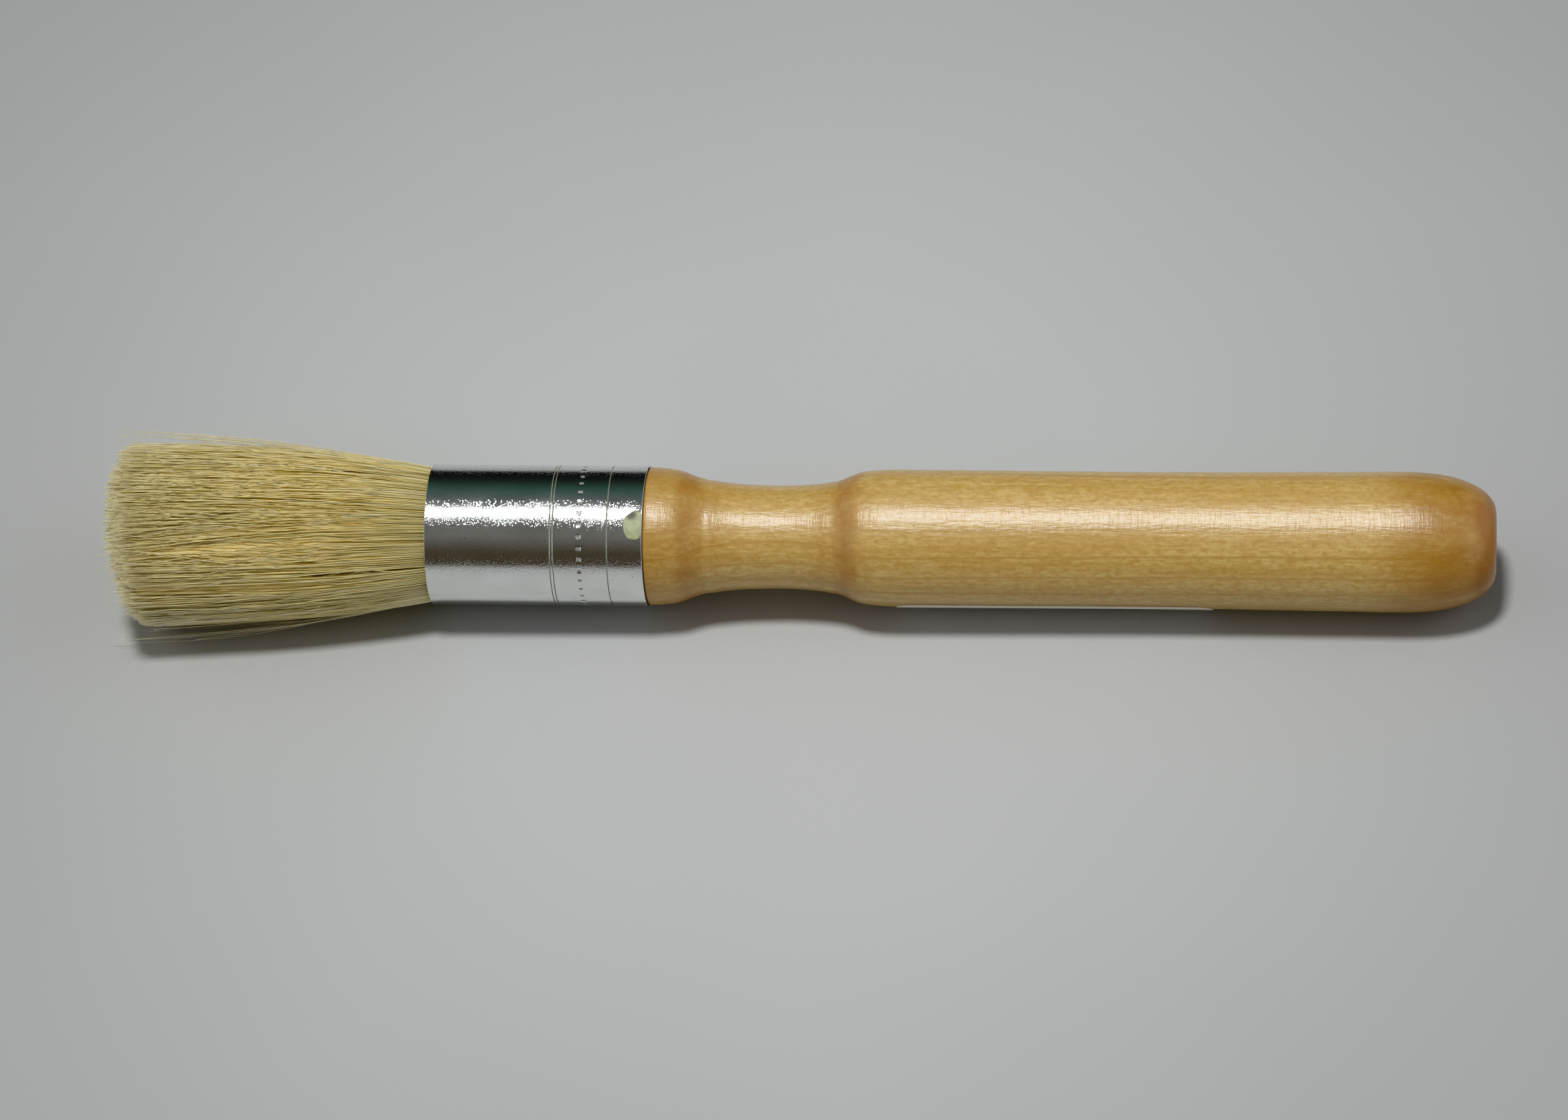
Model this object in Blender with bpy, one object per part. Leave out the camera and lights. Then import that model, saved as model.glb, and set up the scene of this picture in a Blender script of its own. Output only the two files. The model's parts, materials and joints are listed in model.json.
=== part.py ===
"""Round pastry brush: a turned wooden handle, a tinplate ferrule and a head of bristle locks.

Everything is built along local X. Station 0 is the ferrule's front edge, stations grow towards the
handle's butt, and local Z points up. The empty brush_axis tips that line by a fraction of a degree,
so that the brush lies with its butt and the flattened underside of its bristles on z = 0.
The head turns about bristle_pivot, a point on the axis just outside the ferrule's mouth.
"""

import math

import bmesh
import bpy
from mathutils import Matrix, Vector

MM = 0.001
SIDES = 40  # facets round every turned piece
SHARP_EDGE = math.radians(35)  # edges that turn by more than this are shaded sharp

# Ferrule
FERRULE_LENGTH = 31.0 * MM
FERRULE_RADIUS = 10.0 * MM
FERRULE_WALL = 0.3 * MM
FERRULE_FLARE = 0.08 * MM
FLARE_LENGTH = 1.3 * MM
LINE_STATIONS = (17.85 * MM, 18.3 * MM, 26.0 * MM)  # rolled lines: a double one, then a single one
LINE_HALF_WIDTH = 0.16 * MM
LINE_DEPTH = 0.1 * MM

# Handle
SPIGOT_START = 17.3 * MM
SPIGOT_RADIUS = 9.15 * MM
SHOULDER_START = FERRULE_LENGTH + 0.3 * MM
TURNED_OUTLINE = (  # (station, radius) in mm from the collar, along the neck and up to the grip's end
    (31.0, 9.84),
    (33.0, 9.76),
    (35.6, 9.36),
    (38.4, 8.34),
    (41.4, 7.82),
    (45.0, 7.48),
    (50.0, 7.33),
    (54.5, 7.54),
    (57.5, 7.95),
    (59.0, 8.36),
    (60.4, 9.02),
    (62.0, 9.46),
    (66.0, 9.74),
    (101.0, 9.65),
    (124.0, 9.80),
    (137.0, 9.94),
)
NECK_RINGS = 24
GRIP_RINGS = 8
NECK_END = 66.0 * MM
BUTT_START = 137.0 * MM
BUTT_END = 151.2 * MM
BUTT_RINGS = 9
BUTT_FACE_RADIUS = 4.2 * MM
BUTT_FULLNESS = 2.6  # exponent of the butt's round-over

# Inside the ferrule
GLUE_FILM = (17.6 * MM, 30.6 * MM, 9.30 * MM, 9.48 * MM)  # start, end, inner and outer radius
RESIN_FRONT = 9.5 * MM
RESIN_FLOOR = 12.0 * MM
RESIN_BACK = 16.9 * MM
RESIN_RADIUS = 9.45 * MM
RESIN_RIM_INNER = 9.0 * MM
ROOTS_RADIUS = 9.4 * MM
ROOTS_SET_RADIUS = 8.7 * MM
ROOTS_STEP = RESIN_FRONT - 0.3 * MM
ROOTS_END = RESIN_FLOOR - 0.3 * MM

# Bristle head: a ball of radius BALL_RADIUS about the pivot turns in the roots' dished front
PIVOT_STATION = -6.0 * MM
BALL_RADIUS = 11.1 * MM
DISH_RADIUS = 11.45 * MM
DISH_STEPS = 6
HEAD_BASE_RADIUS = 9.3 * MM
HEAD_MOUTH_RADIUS = 9.75 * MM
HEAD_SPREAD = 4.25 * MM
HEAD_SPREAD_LENGTH = 21.5 * MM
HEAD_WIDENING = 1.03  # the flattened head is a little wider than high
WIDENING_LENGTH = 20.0 * MM
HEAD_STATIONS = (-3.0 * MM, -8.0 * MM, -14.0 * MM, -22.0 * MM, -31.0 * MM, -40.0 * MM)
TIP_CENTRE = -48.0 * MM
TIP_DOME = 4.0 * MM
TIP_ROUND = 1.4 * MM
TIP_TAPER = 0.8
LOCK_GAP = 0.34 * MM
CENTRE_CORNERS = 12
LOCK_RINGS = (  # name, count, inner and outer radius as shares of the head's radius
    ("bristle_lock_centre", 1, 0.0, 0.22),
    ("bristle_lock_inner", 6, 0.22, 0.61),
    ("bristle_lock_outer", 12, 0.61, 1.0),
)

# Label round the underside of the grip
LABEL_START = 66.5 * MM
LABEL_END = 111.5 * MM
LABEL_HALF_ANGLE = math.radians(66)
LABEL_CORNER = 2.0 * MM
LABEL_CLEARANCE = 0.1 * MM
LABEL_THICKNESS = 0.14 * MM
LABEL_COLUMNS = 10

# Dried glue drop at the ferrule's rear edge, on the side that faces -Y and up
DROP_STATION = 29.6 * MM
DROP_HALF_LENGTH = 1.35 * MM
DROP_HALF_ARC = math.radians(13.5)
DROP_ANGLE = math.radians(59)  # above the horizontal, from -Y
DROP_CLEARANCE = 0.06 * MM
DROP_THICKNESS = 0.22 * MM
DROP_POINTS = 14

# How the brush lies
PITCH = math.radians(0.55)
CENTRE_SHIFT = -51.61 * MM  # brings the middle of the whole length to x = 0


def material(name, colour, roughness, metallic=0.0):
    made = bpy.data.materials.new(name)
    made.use_nodes = True
    shader = made.node_tree.nodes["Principled BSDF"]
    shader.inputs["Base Color"].default_value = (*colour, 1.0)
    shader.inputs["Roughness"].default_value = roughness
    shader.inputs["Metallic"].default_value = metallic
    made.diffuse_color = (*colour, 1.0)
    return made


def add_object(name, bm, mat, parent, origin=(0.0, 0.0, 0.0)):
    """Turns a bmesh drawn in brush coordinates into an object whose origin is at origin."""
    bmesh.ops.remove_doubles(bm, verts=bm.verts, dist=1e-7)
    bmesh.ops.recalc_face_normals(bm, faces=bm.faces)
    bm.transform(Matrix.Translation(-Vector(origin)))
    mesh = bpy.data.meshes.new(name)
    bm.to_mesh(mesh)
    bm.free()
    mesh.shade_smooth()
    mesh.set_sharp_from_angle(angle=SHARP_EDGE)
    mesh.materials.append(mat)
    made = bpy.data.objects.new(name, mesh)
    made.parent = parent
    bpy.context.scene.collection.objects.link(made)
    return made


def empty(name, location, parent=None):
    made = bpy.data.objects.new(name, None)
    made.location = location
    made.parent = parent
    made.empty_display_size = 0.01
    bpy.context.scene.collection.objects.link(made)
    return made


def turned(name, outline, mat, parent, closed):
    """Spins an outline of (station, radius) points about the brush's axis."""
    bm = bmesh.new()
    verts = [bm.verts.new((station, 0.0, -radius)) for station, radius in outline]
    pairs = list(zip(verts, verts[1:]))
    if closed:
        pairs.append((verts[-1], verts[0]))
    edges = [bm.edges.new(pair) for pair in pairs]
    bmesh.ops.spin(
        bm,
        geom=verts + edges,
        cent=(0.0, 0.0, 0.0),
        axis=(1.0, 0.0, 0.0),
        angle=math.tau,
        steps=SIDES,
        use_merge=True,
    )
    return add_object(name, bm, mat, parent)


def smooth_curve(knots, at):
    """Height at `at` of a smooth curve through knots that makes no new bumps between them."""
    steps = [(b[1] - a[1]) / (b[0] - a[0]) for a, b in zip(knots, knots[1:])]
    slopes = [steps[0]]
    for before, after in zip(steps, steps[1:]):
        turning = before * after <= 0.0
        slopes.append(0.0 if turning else 2.0 * before * after / (before + after))
    slopes.append(steps[-1])
    index = max(i for i in range(len(knots) - 1) if i == 0 or knots[i][0] <= at)
    (x0, y0), (x1, y1) = knots[index], knots[index + 1]
    width = x1 - x0
    t = min(1.0, (at - x0) / width)
    rise = t * t * (3.0 - 2.0 * t)
    start_pull = slopes[index] * width * t * (1.0 - t) ** 2
    end_pull = slopes[index + 1] * width * t * t * (1.0 - t)
    return y0 + (y1 - y0) * rise + start_pull - end_pull


def spread(start, end, count):
    return [start + (end - start) * i / count for i in range(count)]


def handle_radius(station):
    if station <= BUTT_START:
        return smooth_curve(TURNED_OUTLINE, station / MM) * MM
    t = min(1.0, (station - BUTT_START) / (BUTT_END - BUTT_START))
    grip_radius = TURNED_OUTLINE[-1][1] * MM
    return BUTT_FACE_RADIUS + (grip_radius - BUTT_FACE_RADIUS) * math.sqrt(1.0 - t**BUTT_FULLNESS)


def handle_stations():
    butt = [
        BUTT_START + (BUTT_END - BUTT_START) * math.sin(0.5 * math.pi * i / BUTT_RINGS)
        for i in range(BUTT_RINGS + 1)
    ]
    neck = spread(SHOULDER_START, NECK_END, NECK_RINGS)
    grip = spread(NECK_END, BUTT_START, GRIP_RINGS)
    return neck + grip + butt


def axis_height():
    """Height of station 0 above the floor when the handle's lowest point touches z = 0."""
    return max(
        station * math.sin(PITCH) + handle_radius(station) * math.cos(PITCH)
        for station in handle_stations()
    )


def floor_depth(station):
    """Distance from the axis down to the floor, square to the axis."""
    return (axis_height() - station * math.sin(PITCH)) / math.cos(PITCH)


def build_handle(mat, parent):
    outline = [
        (SPIGOT_START, 0.0),
        (SPIGOT_START, SPIGOT_RADIUS - 0.4 * MM),
        (SPIGOT_START + 0.4 * MM, SPIGOT_RADIUS),
        (SHOULDER_START, SPIGOT_RADIUS),
    ]
    outline += [(station, handle_radius(station)) for station in handle_stations()]
    outline.append((BUTT_END, 0.0))
    turned("handle", outline, mat, parent, closed=False)


def ferrule_outline():
    """Outer side of the tinplate, from its front edge to its rear edge."""
    points = [(0.0, FERRULE_RADIUS + FERRULE_FLARE), (FLARE_LENGTH, FERRULE_RADIUS)]
    for station in LINE_STATIONS:
        points.append((station - LINE_HALF_WIDTH, FERRULE_RADIUS))
        points.append((station, FERRULE_RADIUS - LINE_DEPTH))
        points.append((station + LINE_HALF_WIDTH, FERRULE_RADIUS))
    points.append((FERRULE_LENGTH - FLARE_LENGTH, FERRULE_RADIUS))
    points.append((FERRULE_LENGTH, FERRULE_RADIUS + FERRULE_FLARE))
    return points


def ferrule_radius(station):
    """Outer radius of the plain rear end, where the glue drop sits."""
    flared = max(0.0, station - (FERRULE_LENGTH - FLARE_LENGTH)) / FLARE_LENGTH
    return FERRULE_RADIUS + FERRULE_FLARE * flared


def build_ferrule(mat, parent):
    outer = ferrule_outline()
    inner = [(station, radius - FERRULE_WALL) for station, radius in reversed(outer)]
    turned("ferrule", outer + inner, mat, parent, closed=True)


def build_handle_glue(mat, parent):
    start, end, inner, outer = GLUE_FILM
    ring = [(start, outer), (end, outer), (end, inner), (start, inner)]
    turned("handle_glue", ring, mat, parent, closed=True)


def build_setting_resin(mat, parent):
    outline = [
        (RESIN_FLOOR, 0.0),
        (RESIN_FLOOR, RESIN_RIM_INNER),
        (RESIN_FRONT, RESIN_RIM_INNER),
        (RESIN_FRONT, RESIN_RADIUS),
        (RESIN_BACK, RESIN_RADIUS),
        (RESIN_BACK, 0.0),
    ]
    turned("setting_resin", outline, mat, parent, closed=False)


def build_bristle_roots(mat, parent):
    """The packed root ends. Their front is a dish about the pivot, in which the head's ball turns."""
    widest = math.asin(ROOTS_RADIUS / DISH_RADIUS)
    outline = []
    for i in range(DISH_STEPS + 1):
        turn = widest * i / DISH_STEPS
        outline.append((PIVOT_STATION + DISH_RADIUS * math.cos(turn), DISH_RADIUS * math.sin(turn)))
    outline += [
        (ROOTS_STEP, ROOTS_RADIUS),
        (ROOTS_STEP, ROOTS_SET_RADIUS),
        (ROOTS_END, ROOTS_SET_RADIUS),
        (ROOTS_END, 0.0),
    ]
    turned("bristle_roots", outline, mat, parent, closed=False)


def head_radius(station):
    spread_share = 1.0 - math.exp(station / HEAD_SPREAD_LENGTH)
    return HEAD_MOUTH_RADIUS + HEAD_SPREAD * spread_share


def rest_on_floor(station, height, radius):
    """Squashes the head's lower half so that it lies flat where it would reach below the floor."""
    room = floor_depth(station)
    if height >= 0.0 or radius <= room:
        return height
    squash = 0.5 * (1.0 + room / radius)
    return max(height * squash, -room)


def head_point(u, v, station, widening):
    """Point of the head at the shares u (sideways) and v (upwards) of its radius."""
    radius = head_radius(station)
    height = rest_on_floor(station, v * radius, radius)
    return Vector((station, u * radius * widening, height))


def arc_points(reach, start, end, steps):
    """Points on an arc, as shares of the head's radius."""
    points = []
    for i in range(steps + 1):
        turn = start + (end - start) * i / steps
        points.append((reach * math.cos(turn), reach * math.sin(turn)))
    return points


def lock_section(count, index, inner, outer):
    """Corners of one lock's cross-section as shares of the head's radius, with its gaps taken off."""
    gap = LOCK_GAP / HEAD_BASE_RADIUS
    if count == 1:
        return arc_points(outer - gap / 2, 0.0, math.tau, CENTRE_CORNERS)[:-1]
    middle = math.tau * index / count - 0.5 * math.pi
    half = math.pi / count
    low = inner + gap / 2
    high = outer - (gap / 2 if outer < 1.0 else 0.0)
    high_half = half - gap / 2 / high
    low_half = half - gap / 2 / low
    outer_steps = 5 if outer < 1.0 else 4
    section = arc_points(high, middle - high_half, middle + high_half, outer_steps)
    return section + arc_points(low, middle + low_half, middle - low_half, 3)


def lock_rings(section):
    """Rings of points from the lock's base on the ball to its rounded tip."""
    rings = []
    base = []
    for u, v in section:
        across = HEAD_BASE_RADIUS * math.hypot(u, v)
        station = PIVOT_STATION + math.sqrt(BALL_RADIUS**2 - across**2)
        base.append(Vector((station, u * HEAD_BASE_RADIUS, v * HEAD_BASE_RADIUS)))
    rings.append(base)
    for station in HEAD_STATIONS:
        widening = 1.0 + (HEAD_WIDENING - 1.0) * min(1.0, -station / WIDENING_LENGTH)
        rings.append([head_point(u, v, station, widening) for u, v in section])
    centre_u = sum(u for u, v in section) / len(section)
    centre_v = sum(v for u, v in section) / len(section)
    tip = TIP_CENTRE + TIP_DOME * (centre_u**2 + centre_v**2)
    full = [head_point(u, v, tip + TIP_ROUND, HEAD_WIDENING) for u, v in section]
    rings.append(full)
    middle = sum(full, Vector()) / len(full)
    end = []
    for point in full:
        drawn_in = middle + (point - middle) * TIP_TAPER
        end.append(Vector((tip, drawn_in.y, drawn_in.z)))
    rings.append(end)
    return rings


def build_lock(name, section, mat, pivot):
    bm = bmesh.new()
    rings = [[bm.verts.new(point) for point in ring] for ring in lock_rings(section)]
    for lower, upper in zip(rings, rings[1:]):
        for i in range(len(lower)):
            j = (i + 1) % len(lower)
            bm.faces.new((lower[i], lower[j], upper[j], upper[i]))
    for ring in (rings[0], rings[-1]):
        middle = bm.verts.new(sum((vert.co for vert in ring), Vector()) / len(ring))
        for i in range(len(ring)):
            bm.faces.new((ring[i], ring[(i + 1) % len(ring)], middle))
    add_object(name, bm, mat, pivot, origin=pivot.location)


def build_locks(mat, pivot):
    for name, count, inner, outer in LOCK_RINGS:
        for index in range(count):
            label = name if count == 1 else f"{name}_{index + 1}"
            build_lock(label, lock_section(count, index, inner, outer), mat, pivot)


def label_rows():
    """(station, half angle) rows of the label, drawn in at both ends by its rounded corners."""
    corner = [LABEL_CORNER * (1.0 - math.cos(0.5 * math.pi * i / 3)) for i in range(4)]
    middle = spread(LABEL_START + LABEL_CORNER, LABEL_END - LABEL_CORNER, 5)[1:]
    stations = [LABEL_START + step for step in corner]
    stations += middle
    stations += [LABEL_END - step for step in reversed(corner)]
    rows = []
    for station in stations:
        inset = max(0.0, LABEL_CORNER - min(station - LABEL_START, LABEL_END - station))
        cut = LABEL_CORNER - math.sqrt(LABEL_CORNER**2 - inset**2)
        rows.append((station, LABEL_HALF_ANGLE - cut / handle_radius(station)))
    return rows


def build_paper_label(mat, parent):
    bm = bmesh.new()
    sheets = []
    for lift in (LABEL_CLEARANCE, LABEL_CLEARANCE + LABEL_THICKNESS):
        sheet = []
        for station, half_angle in label_rows():
            radius = handle_radius(station) + lift
            row = []
            for column in range(LABEL_COLUMNS + 1):
                turn = half_angle * (2.0 * column / LABEL_COLUMNS - 1.0)
                point = (station, radius * math.sin(turn), -radius * math.cos(turn))
                row.append(bm.verts.new(point))
            sheet.append(row)
        sheets.append(sheet)
        for lower, upper in zip(sheet, sheet[1:]):
            for i in range(LABEL_COLUMNS):
                bm.faces.new((lower[i], lower[i + 1], upper[i + 1], upper[i]))
    rims = []
    for sheet in sheets:
        sides = [row[-1] for row in sheet[1:-1]]
        back = [row[0] for row in reversed(sheet[1:-1])]
        rims.append(sheet[0] + sides + list(reversed(sheet[-1])) + back)
    for i in range(len(rims[0])):
        j = (i + 1) % len(rims[0])
        bm.faces.new((rims[0][i], rims[0][j], rims[1][j], rims[1][i]))
    add_object("paper_label", bm, mat, parent)


def drop_point(reach, turn, lift):
    """Point of the drop at a share of its outline, in the direction turn, lifted off the ferrule."""
    station = DROP_STATION + DROP_HALF_LENGTH * reach * math.cos(turn)
    angle = DROP_ANGLE + DROP_HALF_ARC * reach * math.sin(turn)
    radius = ferrule_radius(station) + DROP_CLEARANCE + lift
    return (station, -radius * math.cos(angle), radius * math.sin(angle))


def build_glue_drop(mat, parent):
    """A flat blob that follows the ferrule's round."""
    bm = bmesh.new()
    rings = []
    for reach, share in ((0.5, 0.0), (1.0, 0.0), (0.92, 0.6), (0.55, 1.0)):
        ring = []
        for i in range(DROP_POINTS):
            turn = math.tau * i / DROP_POINTS
            ring.append(bm.verts.new(drop_point(reach, turn, share * DROP_THICKNESS)))
        rings.append(ring)
    for lower, upper in zip(rings, rings[1:]):
        for i in range(DROP_POINTS):
            j = (i + 1) % DROP_POINTS
            bm.faces.new((lower[i], lower[j], upper[j], upper[i]))
    for ring, share in ((rings[0], 0.0), (rings[-1], 1.0)):
        middle = bm.verts.new(drop_point(0.0, 0.0, share * DROP_THICKNESS))
        for i in range(DROP_POINTS):
            bm.faces.new((ring[i], ring[(i + 1) % DROP_POINTS], middle))
    add_object("glue_drop", bm, mat, parent)


def main():
    for old in list(bpy.data.objects):
        bpy.data.objects.remove(old, do_unlink=True)
    wood = material("lacquered_wood", (0.55, 0.33, 0.12), 0.3)
    tin = material("tinplate", (0.72, 0.73, 0.72), 0.25, metallic=1.0)
    bristle = material("bristle", (0.55, 0.44, 0.22), 0.6)
    resin = material("resin", (0.45, 0.3, 0.12), 0.35)
    glue = material("dried_glue", (0.5, 0.5, 0.38), 0.5)
    paper = material("paper", (0.85, 0.85, 0.83), 0.8)

    axis = empty("brush_axis", (CENTRE_SHIFT, 0.0, axis_height()))
    axis.rotation_euler = (0.0, PITCH, 0.0)
    pivot = empty("bristle_pivot", (PIVOT_STATION, 0.0, 0.0), axis)

    build_handle(wood, axis)
    build_ferrule(tin, axis)
    build_handle_glue(glue, axis)
    build_glue_drop(glue, axis)
    build_setting_resin(resin, axis)
    build_bristle_roots(bristle, axis)
    build_paper_label(paper, axis)
    build_locks(bristle, pivot)


main()
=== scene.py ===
"""Looks of the round pastry brush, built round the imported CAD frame.

Brush coordinates are used throughout: the station along the brush's axis (0 at the ferrule's front
edge, growing towards the butt), then the distance sideways, then the distance up, square to the axis.
"""

import json
import math

import bpy
import numpy as np
from mathutils import Matrix, Vector


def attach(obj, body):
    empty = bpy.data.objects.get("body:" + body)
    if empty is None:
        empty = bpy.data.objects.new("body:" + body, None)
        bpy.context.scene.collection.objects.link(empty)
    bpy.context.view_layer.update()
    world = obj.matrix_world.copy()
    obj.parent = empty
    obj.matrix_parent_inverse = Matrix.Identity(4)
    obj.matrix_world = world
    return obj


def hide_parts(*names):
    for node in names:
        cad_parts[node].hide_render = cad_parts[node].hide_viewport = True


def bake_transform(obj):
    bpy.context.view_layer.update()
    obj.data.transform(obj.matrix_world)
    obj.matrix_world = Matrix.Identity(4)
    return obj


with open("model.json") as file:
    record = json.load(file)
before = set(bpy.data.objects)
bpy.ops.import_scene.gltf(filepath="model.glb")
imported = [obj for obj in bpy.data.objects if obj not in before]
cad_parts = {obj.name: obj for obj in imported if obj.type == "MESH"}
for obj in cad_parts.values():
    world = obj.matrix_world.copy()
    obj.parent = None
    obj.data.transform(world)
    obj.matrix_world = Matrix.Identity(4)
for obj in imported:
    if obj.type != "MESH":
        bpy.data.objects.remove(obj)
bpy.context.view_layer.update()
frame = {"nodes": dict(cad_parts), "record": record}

MM = 0.001
rng = np.random.default_rng(20)

# The brush's axis, from the record's butt mount
BUTT_STATION = 151.2 * MM
BUTT = frame["record"]["mounts"][0]
BUTT_POINT = np.array(BUTT["pos_m"])
AXIS = np.array(BUTT["axis"]) / np.linalg.norm(BUTT["axis"])
SIDE = np.array((0.0, 1.0, 0.0))
UP = np.cross(AXIS, SIDE)

# Handle
HANDLE_COLUMNS = 144
HANDLE_ROWS = 230
SPIGOT_CHAMFER = 0.4 * MM
COLLAR_GAP = 0.03 * MM  # from the ferrule's rear edge to the collar
COLLAR_EDGE = 0.15 * MM
COLLAR_SOAK = 0.22  # how dark the end grain makes the collar, and how far that reaches
COLLAR_SOAK_LENGTH = 7.0 * MM
BUTT_SOAK = 0.4
BUTT_SOAK_START = 130.0 * MM
BUTT_SOAK_LENGTH = 14.0 * MM

# Ferrule
FERRULE_LENGTH = 31.0 * MM
FERRULE_RADIUS = 10.0 * MM
FERRULE_WALL = 0.3 * MM
FLARE = 0.08 * MM
FLARE_LENGTH = 1.3 * MM
EDGE_ROUNDING = 0.06 * MM
LINE_STATIONS = (17.85 * MM, 18.3 * MM, 26.0 * MM)
LINE_WIDTH = 0.045 * MM
LINE_DEPTH = 0.04 * MM
RIDGE_WIDTH = 0.12 * MM  # of the low ridge between the two close lines
RIDGE_HEIGHT = 0.02 * MM
MARK_STATION = 22.0 * MM
MARK_COUNT = 37
MARK_PHASE = math.radians(1.5)
MARK_HALF_LENGTH = 0.32 * MM
MARK_HALF_ARC = 0.27 * MM
MARK_SOFT_LENGTH = 0.12 * MM  # how far the marks' edges run out, along the ferrule and round it
MARK_SOFT_ARC = 0.14 * MM
MARK_DEPTH = 0.06 * MM
COLUMNS_PER_MARK = 12
SEAM_ANGLE = math.radians(-120)  # on the hidden lower back
SEAM_ARC = 1.6 * MM
SEAM_LIFT = 0.1 * MM
SEAM_DIRT_WIDTH = 0.12 * MM

# Glue drop
DROP_STATION = 29.9 * MM
DROP_HALF_LENGTH = 1.5 * MM
DROP_HALF_ARC = 2.2 * MM
DROP_ANGLE = math.radians(59.8)
DROP_THICKNESS = 0.13 * MM
DROP_RIM = 0.01 * MM  # heights of the drop's rim and underside above the tinplate
DROP_UNDERSIDE = 0.005 * MM
DROP_END_GAP = 0.02 * MM
PIT_STATION = 29.5 * MM
PIT_ARC = 1.5 * MM
PIT_WIDTH = 0.65 * MM

# Label
LABEL_START = 66.5 * MM
LABEL_END = 111.5 * MM
LABEL_HALF_ANGLE = math.radians(66)
LABEL_CORNER = 2.0 * MM
LABEL_THICKNESS = 0.11 * MM
LABEL_CLEARANCE = 0.02 * MM
LIFTED_SHARE = 0.72  # the lifting corner starts this far from the label's middle line
LIFTED_LENGTH = 4.0 * MM
LIFTED_HEIGHT = 0.16 * MM

# Bristles
HAIR_COUNT = 17000
HAIR_RADIUS = 0.068 * MM
HAIR_TIP_RADIUS = 0.052 * MM
HAIR_SIDES = 3
NEVER_ALONG = np.array((0.0, 0.31, 0.95))  # a direction that no hair runs in
HAIR_STEPS = (0.0, 0.05, 0.11, 0.18, 0.26, 0.35, 0.45, 0.55, 0.66, 0.77, 0.89, 1.0)  # shares of its length
ROOT_DISH_RADIUS = 11.45 * MM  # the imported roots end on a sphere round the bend's pivot
PIVOT_STATION = -6.0 * MM
ROOT_CLEARANCE = 0.5 * MM
MOUTH_RADIUS = 9.55 * MM
SPREAD = 4.15 * MM  # how far the bundle flares out in the end, and how soon
SPREAD_LENGTH = 21.5 * MM
WIDENING = 1.03
SAG = 0.55 * MM  # how far the tips sink, and how far they lean towards -Y
NEAR_LEAN = 0.75 * MM
TIP_CENTRE = -45.6 * MM
TIP_DOME = 1.7 * MM  # how much shorter the hairs are a radius away from the dome's centre
TIP_DOME_CENTRE = (0.22, 0.44)  # the longest hairs stand above the axis and behind it
TIP_EDGE = 1.6 * MM  # how much shorter they are again at the bundle's very edge
ROOT_CROWDING = 0.38  # below a half, so the hairs crowd towards the rim
ROOT_JITTER = 0.006  # this and the leans and scatters below are shares of the head's radius
MID_CLUMPS = 110
MID_PULL = 0.1
MID_LEAN = 0.014
MID_SCATTER = (0.035, 0.009)  # round the bundle and outwards
TIP_CLUMPS = 300
TIP_PULL = 0.3
TIP_LEAN = 0.016
TIP_SCATTER = (0.06, 0.02)
CROSSING_SHARE = 0.12
CROSSING_SCATTER = (0.1, 0.01)
CLUMP_UNEVENNESS = 0.45 * MM  # of the lengths, clump by clump and hair by hair
HAIR_UNEVENNESS = 0.55 * MM
LAYER_DEPTH = 0.9 * MM  # of the hairs that lie on the floor, one upon another
PARTINGS = (  # angle round the axis in degrees, where it starts and ends in mm, half width in degrees
    (21.5, 1.0, -21.0, 1.3),
    (104.0, -7.0, -19.0, 1.1),
    (66.0, -24.0, -40.0, 0.7),
    (47.0, -28.0, -43.0, 0.5),
    (-8.0, -12.0, -30.0, 1.3),
    (170.0, -4.0, -30.0, 1.0),
    (-150.0, -10.0, -38.0, 1.1),
)
CORE_SHARE = 0.957  # of the head's radius
CORE_COLUMNS = 480
CORE_SETBACK = 4.0 * MM  # of the core's end behind the longest tips
CORE_UNEVENNESS = 0.4 * MM
CORE_LIFT = 0.4 * MM  # off the floor
CORE_POINT = 1.5 * MM  # how far the middle of its end stands out
INNER_LOCKS = 6
OUTER_LOCKS = 12
LOCK_EDGES = (0.22, 0.61)  # the CAD locks' ring edges, as shares of the head's radius

# Stray bristles
STRAY_ARCS = (  # how many, from and to which angle round the axis, from and to which share of the radius
    (34, 118.0, 165.0, 1.03, 1.17),
    (9, -52.0, -36.0, 1.10, 1.22),
    (6, 165.0, 220.0, 1.03, 1.12),
    (10, -20.0, 70.0, 1.01, 1.035),
)
STRAY_ROOT = 0.98
STRAY_DRIFT = 8.0  # degrees round the axis
STRAY_TIP = -47.0 * MM  # the station of the longest ones' tips
STRAY_SHORTENING = 13.0 * MM
STRAY_THICKNESS = 0.6

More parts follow.
